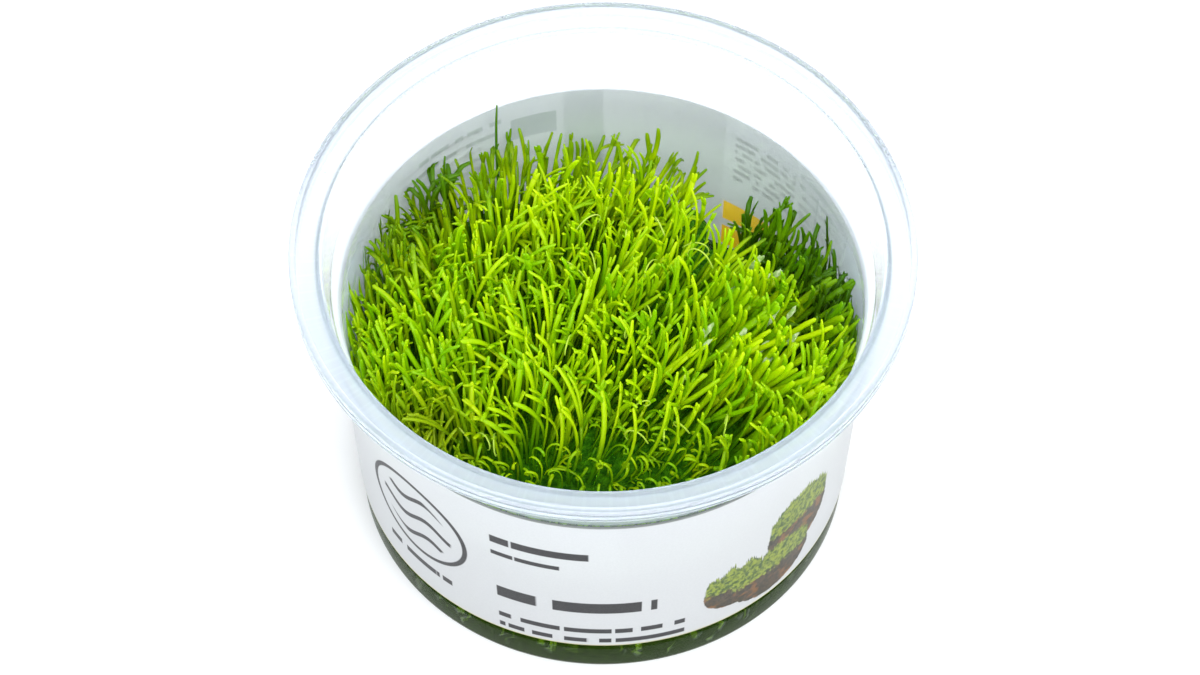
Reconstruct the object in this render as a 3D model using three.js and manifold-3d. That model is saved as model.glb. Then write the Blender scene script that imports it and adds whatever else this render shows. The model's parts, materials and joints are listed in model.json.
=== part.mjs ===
// Crystalwort cushion in its clear growing cup, with the printed sleeve and the nutrient gel.
// Millimetres, +Z up. The origin is on the surface the cup stands on, at the cup's axis.
// The front of the sleeve faces -Y.

import * as THREE from 'three';
import { mergeVertices } from 'three/addons/utils/BufferGeometryUtils.js';
import Module from 'manifold-3d';

const wasm = await Module();
wasm.setup();

// Cup: a thin moulded pot with a wide flange to carry the lid
const CUP_SEGMENTS = 60;
const RIM_RADIUS = 50;
const CUP_HEIGHT = 62;
const WALL = 0.8;
const FLOOR_TOP = 1.5;
const BASE_RECESS = 0.6;
const FOOT_RING_INNER_RADIUS = 38;
const FOOT_RADIUS = 41.1;
const FOOT_BAND_RADIUS = 41.55;
const FOOT_BAND_TOP = 6.2;
const BODY_FOOT_RADIUS = 40.75;
const BODY_DRAFT = 0.056;
const SHOULDER_HEIGHT = 51;
const COLLAR_DRAFT = 0.15;
const MOUTH_RADIUS = 44.9;
const MOUTH_BEAD_WIDTH = 1;
const MOUTH_BEAD_HEIGHT = 0.5;
const FLANGE_TOP = 60.1;
const FLANGE_THICKNESS = 0.9;
const LIP_WIDTH = 1.1;
const EDGE_ROUND = 0.35;

// Sleeve: one printed film round the body, between the foot band and the shoulder
const FIT_GAP = 0.3;
const SLEEVE_THICKNESS = 0.25;
const SLEEVE_BOTTOM = 6.5;
const SLEEVE_TOP = 47.3;

// Nutrient gel
const GEL_TOP = 14.7;
const GEL_CORNER = 1.5;

// Cushion: canopy height over the plan, and the plan's outline
const PLANT_BASE = GEL_TOP + FIT_GAP;
const CROWN_HEIGHT = 46;
const EDGE_DROP = 4.5;
const FRONT_DROP = 5;
const SPREAD_RADIUS = 40.3;
const REAR_RETREAT = { angle: 80, width: 30, depth: 3.4 };
const REAR_GAP = { angle: 52, width: 7, depth: 8 };
const BED_DEPTH = 8;
const BED_SEGMENTS = 40;
const WALL_CLEARANCE = 0.4;

// Fronds: flat ribbons that fork near their tips
const FROND_COUNT = 120;
const FROND_ROOT_DEPTH = 3;
const FROND_WIDTH = 1.7;
const FROND_THICKNESS = 0.9;
const FORK_SHARE = 0.5;
const FORK_SPREAD = 1.6;
const FORK_STEP = 2.2;
const LEAN_CENTRE = new THREE.Vector2(-10, -4);
const LEAN_PER_MM = 0.021;
const LEAN_LIMIT = 0.75;
const LEAN_SCATTER = 0.4;
const TIP_SCATTER = 2;
const TIP_WALL_CLEARANCE = 1.8;
const LONG_FROND = { root: [-17.2, 28.4, 30], tip: [-18.8, 36.6, 50.3], tipWidth: 0.3 };

// Tufts that stand apart from the cushion: place as an angle and a radius, size along and across the wall
const TUFT_BED_RISE = 0.55;
const TUFT_GAP = 0.5;
const TUFTS = [
  { name: 'tuft_rear_right', angle: 35, radius: 34.6, along: 8.5, across: 4.4, height: 39.5, fronds: 9 },
  { name: 'tuft_right', angle: 0, radius: 37, along: 6.5, across: 2.6, height: 40.5, fronds: 6 },
  { name: 'tuft_rear_left', angle: 137, radius: 36.6, along: 4.2, across: 2.8, height: 45, fronds: 5 },
  { name: 'tuft_left', angle: 168, radius: 37.4, along: 4.6, across: 2.2, height: 42.5, fronds: 5 },
];

const Z_AXIS = new THREE.Vector3(0, 0, 1);
const GOLDEN_ANGLE = Math.PI * (3 - Math.sqrt(5));
const radians = THREE.MathUtils.degToRad;
const at = (radius, height) => new THREE.Vector2(radius, height);

const bodyRadius = (z) => BODY_FOOT_RADIUS + BODY_DRAFT * (z - SLEEVE_BOTTOM);
const innerRadius = (z) => bodyRadius(z) - WALL;

// Repeatable scatter between 0 and 1 for the item at an index
function scatter(index, channel) {
  const wave = Math.sin(index * 12.9898 + channel * 78.233) * 43758.5453;
  return wave - Math.floor(wave);
}

// Turns a closed profile of radius and height about the Z axis
function turned(profile, segments) {
  return new THREE.LatheGeometry(profile, segments).rotateX(Math.PI / 2);
}

function solidFrom(geometry) {
  geometry.deleteAttribute('normal');
  geometry.deleteAttribute('uv');
  const merged = mergeVertices(geometry);
  return new wasm.Manifold(new wasm.Mesh({
    numProp: 3,
    vertProperties: new Float32Array(merged.attributes.position.array),
    triVerts: new Uint32Array(merged.index.array),
  }));
}

function geometryFrom(solid) {
  const mesh = solid.getMesh();
  const geometry = new THREE.BufferGeometry();
  geometry.setAttribute('position', new THREE.BufferAttribute(mesh.vertProperties, mesh.numProp));
  geometry.setIndex(new THREE.BufferAttribute(mesh.triVerts, 1));
  return geometry;
}

// Cup profile: up the outside from the foot, over the flange and down the inside
function cupProfile() {
  const collarInner = (z) => MOUTH_RADIUS - COLLAR_DRAFT * (FLANGE_TOP - z);
  const flangeUnderside = FLANGE_TOP - FLANGE_THICKNESS;
  const lipInner = RIM_RADIUS - LIP_WIDTH;
  const beadOuter = MOUTH_RADIUS + MOUTH_BEAD_WIDTH;
  const beadTop = FLANGE_TOP + MOUTH_BEAD_HEIGHT;
  const floorCorner = FLOOR_TOP + GEL_CORNER;
  return [
    at(0, BASE_RECESS),
    at(FOOT_RING_INNER_RADIUS - BASE_RECESS, BASE_RECESS),
    at(FOOT_RING_INNER_RADIUS, 0),
    at(FOOT_RADIUS - EDGE_ROUND, 0),
    at(FOOT_RADIUS, EDGE_ROUND),
    at(FOOT_BAND_RADIUS, FOOT_BAND_TOP - EDGE_ROUND),
    at(bodyRadius(FOOT_BAND_TOP), FOOT_BAND_TOP),
    at(bodyRadius(SHOULDER_HEIGHT - WALL), SHOULDER_HEIGHT - WALL),
    at(collarInner(SHOULDER_HEIGHT) + WALL, SHOULDER_HEIGHT),
    at(collarInner(flangeUnderside) + WALL, flangeUnderside),
    at(RIM_RADIUS - EDGE_ROUND, flangeUnderside),
    at(RIM_RADIUS, flangeUnderside + EDGE_ROUND),
    at(RIM_RADIUS, CUP_HEIGHT - EDGE_ROUND),
    at(RIM_RADIUS - EDGE_ROUND, CUP_HEIGHT),
    at(lipInner + EDGE_ROUND, CUP_HEIGHT),
    at(lipInner, FLANGE_TOP),
    at(beadOuter, FLANGE_TOP),
    at(beadOuter - EDGE_ROUND, beadTop),
    at(MOUTH_RADIUS, beadTop - EDGE_ROUND),
    at(collarInner(SHOULDER_HEIGHT), SHOULDER_HEIGHT),
    at(innerRadius(SHOULDER_HEIGHT), SHOULDER_HEIGHT - EDGE_ROUND),
    at(innerRadius(floorCorner), floorCorner),
    at(innerRadius(floorCorner) - GEL_CORNER, FLOOR_TOP),
    at(0, FLOOR_TOP),
  ];
}

function sleeveProfile() {
  const inner = (z) => bodyRadius(z) + FIT_GAP;
  return [
    at(inner(SLEEVE_BOTTOM), SLEEVE_BOTTOM),
    at(inner(SLEEVE_BOTTOM) + SLEEVE_THICKNESS, SLEEVE_BOTTOM),
    at(inner(SLEEVE_TOP) + SLEEVE_THICKNESS, SLEEVE_TOP),
    at(inner(SLEEVE_TOP), SLEEVE_TOP),
    at(inner(SLEEVE_BOTTOM), SLEEVE_BOTTOM),
  ];
}

function gelProfile() {
  const bottom = FLOOR_TOP + FIT_GAP;
  const corner = bottom + GEL_CORNER;
  return [
    at(0, bottom),
    at(innerRadius(corner) - GEL_CORNER - FIT_GAP, bottom),
    at(innerRadius(corner) - FIT_GAP, corner),
    at(innerRadius(GEL_TOP) - FIT_GAP, GEL_TOP),
    at(0, GEL_TOP),
  ];
}

// Smooth dip of the outline, one deep at its angle and gone a few widths away
function dip(degrees, { angle, width, depth }) {
  const away = THREE.MathUtils.euclideanModulo(degrees - angle + 180, 360) - 180;
  return depth * Math.exp(-((away / width) ** 2));
}

// How far the cushion spreads in a direction, in degrees from +X
function spreadRadius(degrees) {
  return SPREAD_RADIUS - dip(degrees, REAR_RETREAT) - dip(degrees, REAR_GAP);
}

// Height that the frond tips reach over a point of the plan
function canopyHeight(x, y) {
  const out = Math.hypot(x, y) / SPREAD_RADIUS;
  const front = Math.max(0, -y / SPREAD_RADIUS);
  return CROWN_HEIGHT - EDGE_DROP * out ** 2 - FRONT_DROP * front ** 2;
}

// Dense bed that the fronds of the cushion grow out of
function cushionBed() {
  const shares = [[0, 0], [0.97, 0], [1, 0.45], [0.98, 0.85], [0.91, 1], [0.6, 1], [0.3, 1], [0, 1]];
  const bed = turned(shares.map(([radius, height]) => at(radius, height)), BED_SEGMENTS);
  const position = bed.attributes.position;
  for (let i = 0; i < position.count; i += 1) {
    const degrees = THREE.MathUtils.radToDeg(Math.atan2(position.getY(i), position.getX(i)));
    const spread = spreadRadius(degrees);
    const x = position.getX(i) * spread;
    const y = position.getY(i) * spread;
    const top = canopyHeight(x, y) - BED_DEPTH;
    position.setXYZ(i, x, y, THREE.MathUtils.lerp(PLANT_BASE, top, position.getZ(i)));
  }
  return solidFrom(bed);
}

// One forked frond from its root to its tip: a flat ribbon turned about its own length
function frond(root, tip, turn) {
  const along = new THREE.Vector3().subVectors(tip, root);
  const length = along.length();
  const half = FROND_WIDTH / 2;
  const fork = length * FORK_SHARE;
  const outline = new THREE.Shape([
    at(-half, 0),
    at(half, 0),
    at(half, fork),
    at(FORK_SPREAD, length),
    at(0, fork + half),
    at(-FORK_SPREAD, length - FORK_STEP),
    at(-half, fork),
  ]);
  return ribbon(outline, root, along, turn);
}

// A flat outline given a thickness and laid along a direction
function ribbon(outline, root, along, turn, thickness = FROND_THICKNESS) {
  const geometry = new THREE.ExtrudeGeometry(outline, { depth: thickness, bevelEnabled: false });
  geometry.translate(0, 0, -thickness / 2);
  const direction = along.clone().normalize();
  const heading = new THREE.Vector3(Math.cos(turn), Math.sin(turn), 0);
  const facing = new THREE.Vector3().crossVectors(heading, direction).normalize();
  const sideways = new THREE.Vector3().crossVectors(direction, facing);
  geometry.applyMatrix4(new THREE.Matrix4().makeBasis(sideways, direction, facing).setPosition(root));
  return solidFrom(geometry);
}

// The one thin unforked frond that stands far above the rest, grown by a margin all round
function longFrond(margin) {
  const root = new THREE.Vector3(...LONG_FROND.root);
  const along = new THREE.Vector3(...LONG_FROND.tip).sub(root);
  const half = FROND_WIDTH / 4 + margin;
  const tipHalf = LONG_FROND.tipWidth / 2 + margin;
  const outline = new THREE.Shape([
    at(-half, -margin),
    at(half, -margin),
    at(tipHalf, along.length() + margin),
    at(-tipHalf, along.length() + margin),
  ]);
  return ribbon(outline, root, along, 0, FROND_WIDTH / 3 + 2 * margin);
}

// Pulls a point in from the cup's wall, so that a frond bends along the wall and not through it
function clearOfWall(point) {
  const limit = innerRadius(point.z) - TIP_WALL_CLEARANCE;
  const radius = Math.hypot(point.x, point.y);
  const share = Math.min(1, limit / radius);
  return new THREE.Vector3(point.x * share, point.y * share, point.z);
}

// Sideways lean of a frond for each millimetre of its height: fronds fan out from the lean's centre
function leanAt(x, y) {
  return new THREE.Vector2(x, y).sub(LEAN_CENTRE).multiplyScalar(LEAN_PER_MM).clampLength(0, LEAN_LIMIT);
}

// Root and tip of the frond that stands at a point of the plan
function frondLine(x, y, index) {
  const lean = leanAt(x, y);
  const height = BED_DEPTH + FROND_ROOT_DEPTH + TIP_SCATTER * (scatter(index, 1) * 2 - 1);
  const root = new THREE.Vector3(x, y, canopyHeight(x, y) - BED_DEPTH - FROND_ROOT_DEPTH);
  const swayX = lean.x + (scatter(index, 2) - 0.5) * LEAN_SCATTER;
  const swayY = lean.y + (scatter(index, 3) - 0.5) * LEAN_SCATTER;
  const tip = new THREE.Vector3(x + swayX * height, y + swayY * height, root.z + height);
  return { root, tip: clearOfWall(tip) };
}

// The space the plants may fill: the inside of the cup, a little clear of its wall
function growingRoom() {
  const top = SHOULDER_HEIGHT - 0.6;
  return solidFrom(turned([
    at(0, PLANT_BASE),
    at(innerRadius(PLANT_BASE) - WALL_CLEARANCE, PLANT_BASE),
    at(innerRadius(top) - WALL_CLEARANCE, top),
    at(0, top),
  ], CUP_SEGMENTS));
}

// The upright column of the plan that belongs to one tuft, grown by a margin all round
function tuftColumn({ angle, radius, along, across }, margin) {
  const column = new THREE.CylinderGeometry(1, 1, CUP_HEIGHT, 12, 1).rotateX(Math.PI / 2);
  column.scale(across + margin, along + margin, 1);
  column.translate(radius, 0, CUP_HEIGHT / 2);
  column.rotateZ(radians(angle));
  return solidFrom(column);
}

// Whether a point stands in or close beside the column of a tuft
function meetsTuft(point, { angle, radius, along, across }) {
  const local = point.clone().applyAxisAngle(Z_AXIS, -radians(angle));
  const margin = TUFT_GAP + FORK_SPREAD;
  return ((local.x - radius) / (across + margin)) ** 2 + (local.y / (along + margin)) ** 2 < 1;
}

// The largest body of a solid: cutting can leave loose tips beside it
function largestBody(solid) {
  return solid.decompose().sort((one, other) => other.volume() - one.volume())[0];
}

function buildCushion(room) {
  let plants = cushionBed();
  for (let i = 0; i < FROND_COUNT; i += 1) {
    const angle = i * GOLDEN_ANGLE;
    const spread = spreadRadius(THREE.MathUtils.radToDeg(angle)) * 0.95;
    const radius = spread * Math.sqrt((i + 0.5) / FROND_COUNT);
    const { root, tip } = frondLine(radius * Math.cos(angle), radius * Math.sin(angle), i);
    if (!TUFTS.some((tuft) => meetsTuft(root, tuft) || meetsTuft(tip, tuft))) {
      plants = plants.add(frond(root, tip, scatter(i, 4) * Math.PI));
    }
  }
  plants = plants.intersect(room).subtract(longFrond(FIT_GAP));
  for (const tuft of TUFTS) {
    plants = plants.subtract(tuftColumn(tuft, TUFT_GAP));
  }
  return geometryFrom(largestBody(plants));
}

function buildTuft(tuft, room, seed) {
  const centre = new THREE.Vector3(tuft.radius, 0, 0).applyAxisAngle(Z_AXIS, radians(tuft.angle));
  const bedTop = THREE.MathUtils.lerp(PLANT_BASE, tuft.height, TUFT_BED_RISE);
  const bed = new THREE.CylinderGeometry(0.7, 0.95, bedTop - PLANT_BASE, 10, 1).rotateX(Math.PI / 2);
  bed.scale(tuft.across, tuft.along, 1);
  bed.rotateZ(radians(tuft.angle));
  bed.translate(centre.x, centre.y, (bedTop + PLANT_BASE) / 2);
  let plants = solidFrom(bed);
  for (let i = 0; i < tuft.fronds; i += 1) {
    const share = (i + 0.5) / tuft.fronds * 2 - 1;
    const place = new THREE.Vector3(tuft.across * 0.4 * (i % 2 ? 1 : -1), tuft.along * 0.62 * share, 0);
    place.applyAxisAngle(Z_AXIS, radians(tuft.angle)).add(centre);
    const rise = tuft.height - bedTop + FROND_ROOT_DEPTH - TIP_SCATTER * scatter(i, seed);
    const root = new THREE.Vector3(place.x, place.y, bedTop - FROND_ROOT_DEPTH);
    const tip = clearOfWall(root.clone().addScaledVector(Z_AXIS, rise));
    plants = plants.add(frond(root, tip, radians(tuft.angle + 90)));
  }
  return geometryFrom(largestBody(plants.intersect(room).intersect(tuftColumn(tuft, 0))));
}

function finish(color, roughness, settings = {}) {
  return new THREE.MeshStandardMaterial({ color, roughness, metalness: 0, ...settings });
}

const clearPlastic = finish(0xdfe8ee, 0.12, { transparent: true, opacity: 0.35 });
const printedFilm = finish(0xeceef0, 0.45);
const clearGel = finish(0x9db27a, 0.1, { transparent: true, opacity: 0.6 });
const freshGreen = finish(0x7fb50a, 0.5);
const deepGreen = finish(0x3f7d10, 0.5);

const group = new THREE.Group();

function addPiece(name, geometry, material) {
  const mesh = new THREE.Mesh(geometry, material);
  mesh.name = name;
  group.add(mesh);
}

const room = growingRoom();
addPiece('cup', turned(cupProfile(), CUP_SEGMENTS), clearPlastic);
addPiece('label', turned(sleeveProfile(), CUP_SEGMENTS), printedFilm);
addPiece('gel', turned(gelProfile(), CUP_SEGMENTS), clearGel);
addPiece('cushion', buildCushion(room), freshGreen);
addPiece('long_frond', geometryFrom(longFrond(0)), freshGreen);
TUFTS.forEach((tuft, seed) => {
  addPiece(tuft.name, buildTuft(tuft, room, seed + 5), deepGreen);
});

export default group;
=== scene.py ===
"""Looks of a crystalwort cushion in its clear growing cup, with its printed sleeve and nutrient gel.

Metres, +Z up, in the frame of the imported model. The front of the sleeve faces -Y.
"""

import json
import math
import random
from functools import partial, partialmethod

import bmesh
import bpy
from mathutils import Matrix, Vector, noise

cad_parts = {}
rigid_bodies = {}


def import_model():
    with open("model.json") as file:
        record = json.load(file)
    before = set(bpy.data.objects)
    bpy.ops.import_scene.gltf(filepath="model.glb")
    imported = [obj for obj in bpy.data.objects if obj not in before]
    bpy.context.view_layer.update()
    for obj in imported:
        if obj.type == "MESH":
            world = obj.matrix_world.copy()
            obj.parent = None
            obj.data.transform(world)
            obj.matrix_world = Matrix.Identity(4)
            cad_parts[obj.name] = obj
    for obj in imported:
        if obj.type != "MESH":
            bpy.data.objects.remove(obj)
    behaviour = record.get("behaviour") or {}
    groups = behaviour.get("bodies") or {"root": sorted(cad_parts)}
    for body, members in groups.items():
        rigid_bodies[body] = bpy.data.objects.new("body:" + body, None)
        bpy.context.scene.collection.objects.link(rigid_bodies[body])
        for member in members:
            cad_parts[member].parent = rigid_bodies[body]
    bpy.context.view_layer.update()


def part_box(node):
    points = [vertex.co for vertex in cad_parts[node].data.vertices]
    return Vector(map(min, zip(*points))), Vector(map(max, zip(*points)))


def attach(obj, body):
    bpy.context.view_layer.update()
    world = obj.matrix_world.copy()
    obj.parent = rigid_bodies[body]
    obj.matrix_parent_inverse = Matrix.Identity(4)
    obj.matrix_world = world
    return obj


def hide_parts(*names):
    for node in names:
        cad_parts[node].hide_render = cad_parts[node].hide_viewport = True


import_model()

MM = 0.001

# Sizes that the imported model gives
cup_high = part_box("cup")[1]
sleeve_low, sleeve_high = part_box("label")
gel_low, gel_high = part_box("gel")
RIM_RADIUS = cup_high.x
CUP_HEIGHT = cup_high.z
SLEEVE_RADIUS = sleeve_high.x
SLEEVE_BOTTOM = sleeve_low.z
SLEEVE_TOP = sleeve_high.z
GEL_BOTTOM = gel_low.z
GEL_TOP = gel_high.z
PLANT_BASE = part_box("cushion")[0].z

# Cup, as in the solid
WALL = 0.8 * MM
FIT_GAP = 0.3 * MM
BODY_DRAFT = 0.056
FLOOR_TOP = 1.5 * MM
FLOOR_CORNER = 1.5 * MM
BASE_RECESS = 0.6 * MM
FOOT_RING_INNER_RADIUS = 38 * MM
FOOT_RADIUS = 41.1 * MM
FOOT_BAND_RADIUS = 41.55 * MM
FOOT_BAND_TOP = 6.2 * MM
SHOULDER_HEIGHT = 51 * MM
COLLAR_DRAFT = 0.15
MOUTH_RADIUS = 44.9 * MM
MOUTH_BEAD_WIDTH = 1 * MM
MOUTH_BEAD_HEIGHT = 0.5 * MM
FLANGE_TOP = 60.1 * MM
FLANGE_THICKNESS = 0.9 * MM
LIP_WIDTH = 1.1 * MM
EDGE_ROUND = 0.3 * MM
TURN_STEPS = 192
SHARPEST_SMOOTH_EDGE = math.radians(40)

# Sleeve: a film whose ends lap at the back, and whose lower edge stands off a little at the sides
SOLID_SLEEVE_THICKNESS = 0.25 * MM
FILM_THICKNESS = 0.12 * MM
FILM_TOP = SLEEVE_TOP - 0.1 * MM
FILM_LAP = math.radians(9)
FILM_STAND_OFF = 0.45 * MM
FILM_STEPS = 200
FILM_ROWS = 8
PRINT_RADIUS = 42.5

# Plants, as in the solids
CROWN_HEIGHT = 46 * MM
EDGE_DROP = 4.5 * MM
FRONT_DROP = 5 * MM
SPREAD_RADIUS = 40.3 * MM
REAR_RETREAT = dict(angle=80, width=30, depth=3.4 * MM)
REAR_GAP = dict(angle=52, width=7, depth=8 * MM)
LONG_FROND_ROOT = Vector((-17.2, 28.4, 30)) * MM
LONG_FROND_TIP = Vector((-18.8, 36.6, 50.3)) * MM
TUFTS = {
    "tuft_rear_right": dict(angle=35, radius=34.6 * MM, along=8.5 * MM, across=4.4 * MM, height=39.5 * MM),
    "tuft_right": dict(angle=0, radius=37 * MM, along=6.5 * MM, across=2.6 * MM, height=40.5 * MM),
    "tuft_rear_left": dict(angle=137, radius=36.6 * MM, along=4.2 * MM, across=2.8 * MM, height=45 * MM),
    "tuft_left": dict(angle=168, radius=37.4 * MM, along=4.6 * MM, across=2.2 * MM, height=42.5 * MM),
}

# Bed under the fronds, deeper than in the solid
BED_DEPTH = 13.5 * MM
BED_LUMP_SIZE = 6 * MM
BED_LUMP_HEIGHT = 1.6 * MM
ROOT_DEPTH = 1.5 * MM
PATCH_COLUMNS = 60

# Fronds: flat ribbons that fork near their blunt tips
FROND_WIDTH = 0.92 * MM
FROND_THICKNESS = 0.5 * MM
FROND_SIDES = 5
FROND_KINDS = 12
FROND_LENGTH = 18 * MM
DENSEST_GROWTH = 900000.0

# How they stand: leaning outwards, less to the front and back, and kept out of the gap at the right rear
SIDE_LEAN = 0.22
BACK_LEAN = 0.15
OUTWARD_LEAN = 0.42
FRONT_BACK_SHARE = 0.6
RIGHT_SHARE = 0.5
LEFT_LEAN_FROM = -30 * MM
RIGHT_LEAN_FROM = 12 * MM
SWIRL_SIZE = 16 * MM
CLEARING = dict(x=22.5 * MM, y=27.5 * MM, across=3.4 * MM, along=8.5 * MM)
WALL_BAND = (33 * MM, 40.4 * MM)
LEFT_PART = -8 * MM
LEFT_PART_FRONT = -22 * MM
FRONT_PART = -16 * MM
REAR_PART = 4 * MM
TUFT_MARGIN = 0.3 * MM
THREADS = 22
WET_SPOTS = 13


def body_radius(z):
    """Outer radius of the cup's tapered body at a height."""
    foot = SLEEVE_RADIUS - FIT_GAP - SOLID_SLEEVE_THICKNESS - BODY_DRAFT * (SLEEVE_TOP - SLEEVE_BOTTOM)
    return foot + BODY_DRAFT * (z - SLEEVE_BOTTOM)


def inner_radius(z):
    return body_radius(z) - WALL


# Node trees

class Socket:
    """An output socket, whose arithmetic adds Math nodes to its tree."""

    def __init__(self, tree, link):
        self.tree = tree
        self.link = link

    def maths(self, operation, *others):
        return self.tree.add("ShaderNodeMath", {"operation": operation}, [self, *others])

    def __rsub__(self, other):
        return self.tree.add("ShaderNodeMath", {"operation": "SUBTRACT"}, [other, self])

    __add__ = __radd__ = partialmethod(maths, "ADD")
    __sub__ = partialmethod(maths, "SUBTRACT")
    __mul__ = __rmul__ = partialmethod(maths, "MULTIPLY")
    __truediv__ = partialmethod(maths, "DIVIDE")
    __pow__ = partialmethod(maths, "POWER")
    __abs__ = partialmethod(maths, "ABSOLUTE")
    at_least = partialmethod(maths, "MAXIMUM")
    at_most = partialmethod(maths, "MINIMUM")

    def smooth(self, low, high, start=0.0, end=1.0):
        """Goes from start to end as this value goes from low to high."""
        ends = {"Value": self, "From Min": low, "From Max": high, "To Min": start, "To Max": end}
        return self.tree.add("ShaderNodeMapRange", {"interpolation_type": "SMOOTHSTEP"}, ends)

    def fade(self, low, high):
        """Goes from 1 to 0 as this value goes from low to high."""
        return self.smooth(low, high, 1, 0)

    def band(self, low, full, falling, end):
        """Rises from low to full, and falls from falling to end."""
        return self.smooth(low, full) * self.fade(falling, end)

    def near(self, middle, full, end):
        """1 within full of the middle, and 0 from end onwards."""
        return abs(self - middle).fade(full, end)


def put(value, socket):
    """Links a value to an input socket, or sets it there."""
    if isinstance(value, Socket):
        value.tree.tree.links.new(value.link, socket)
    else:
        socket.default_value = value


class Tree:
    """A node tree, for a material or for Geometry Nodes."""

    def __init__(self, tree):
        self.tree = tree

    def node(self, kind, settings=None, inputs=()):
        """Adds a node: its settings first, then the values or links of its sockets, by name or in order."""
        made = self.tree.nodes.new(kind)
        for name, value in (settings or {}).items():
            setattr(made, name, value)
        pairs = inputs.items() if isinstance(inputs, dict) else enumerate(inputs)
        for key, value in pairs:
            put(value, made.inputs[key])
        return made

    def add(self, kind, settings=None, inputs=(), output=0):
        """Adds a node and gives one of its outputs."""
        return Socket(self, self.node(kind, settings, inputs).outputs[output])

    def parts(self, vector):
        """The three numbers of a vector."""
        split = self.node("ShaderNodeSeparateXYZ", None, [vector])
        return [Socket(self, output) for output in split.outputs]

    def mix(self, factor, one, other):
        """A colour that goes from one to the other with the factor."""
        made = self.node("ShaderNodeMix", {"data_type": "RGBA"})
        for socket, value in zip((made.inputs[0], made.inputs[6], made.inputs[7]), (factor, one, other)):
            put((*value, 1) if isinstance(value, tuple) else value, socket)
        return Socket(self, made.outputs[2])

    def noise(self, place, scale, detail=2.0, roughness=0.5):
        values = {"Vector": place, "Scale": scale, "Detail": detail, "Roughness": roughness}
        return self.add("ShaderNodeTexNoise", None, values)

    def streak(self, along, scale, seed=0.0):
        """Noise along one number."""
        values = {"W": along + seed, "Scale": scale, "Detail": 1.0}
        return self.add("ShaderNodeTexNoise", {"noise_dimensions": "1D"}, values)

    def place(self):
        """Object coordinates, as a vector and as its three numbers in millimetres."""
        where = self.add("ShaderNodeTexCoord", None, (), "Object")
        scaled = self.add("ShaderNodeVectorMath", {"operation": "SCALE"}, {"Vector": where, "Scale": 1 / MM})
        return scaled, *self.parts(scaled)

    def bump(self, height, strength, distance):
        values = {"Height": height, "Strength": strength, "Distance": distance}
        return self.add("ShaderNodeBump", None, values)

    def shader(self, kind, colour):
        return self.add(kind, None, {"Color": (*colour, 1)})

    def blend(self, factor, one, other):
        """A shader that goes from one to the other with the factor."""
        return self.add("ShaderNodeMixShader", None, [factor, one, other])


def new_material(name):
    """A material with a Principled shader: the material, its tree and the shader."""
    material = bpy.data.materials.new(name)
    material.use_nodes = True
    return material, Tree(material.node_tree), material.node_tree.nodes["Principled BSDF"]


def give(shader, **values):
    """Sets or links the shader's sockets, named with underscores for spaces."""
    for name, value in values.items():
        put(value, shader.inputs[name.replace("_", " ")])


def show(material, shown, socket="Surface"):
    put(shown, material.node_tree.nodes["Material Output"].inputs[socket])


# Materials. Their masks are in millimetres.

FOOT_BAND = FOOT_BAND_TOP / MM
FILM_EDGE = FILM_TOP / MM
FLANGE = FLANGE_TOP / MM
LIP = CUP_HEIGHT / MM
RIM = RIM_RADIUS / MM

CLEAR = (1, 1, 1)
NO_TINT = (*CLEAR, 1)
INK = (0.022, 0.022, 0.024)
AMBER = (0.85, 0.34, 0.004)
FILM_GLOW = (0.90, 0.93, 0.91)
FILM_SHADE = (0.84, 0.86, 0.84)
PAINTED_SHADE_GREEN = (0.02, 0.04, 0.002)
DARK_TIP_GREEN = (0.06, 0.20, 0.002)
OLIVE = (0.30, 0.37, 0.004)
LEAF_GLOW = (0.60, 0.92, 0.004)


def surface(material, shader, milky, share, shade, painted_shade=None):
    """Ends a clear material: its shader, some milky haze, and a light tint in place of its shadow.

    Where painted shade is given, a dull dark green like that of the plants behind is painted over part of its
    gloss, as painted shade that dims its reflection.
    """
    tree = Tree(material.node_tree)
    both = tree.blend(share, Socket(tree, shader.outputs[0]), tree.shader("ShaderNodeBsdfTranslucent", milky))
    # Painted shade: a dull dark green diffuse over part of the gloss
    if painted_shade is not None:
        both = tree.blend(painted_shade, both, tree.shader("ShaderNodeBsdfDiffuse", PAINTED_SHADE_GREEN))
    to_lamp = tree.add("ShaderNodeLightPath", None, (), "Is Shadow Ray")
    show(material, tree.blend(to_lamp, both, tree.shader("ShaderNodeBsdfTransparent", shade)))


def absorb(material, colour, density):
    """Fills a clear material with a substance that takes up light."""
    tree = Tree(material.node_tree)
    volume = tree.add("ShaderNodeVolumeAbsorption", None, {"Color": (*colour, 1), "Density": density})
    show(material, volume, "Volume")


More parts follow.
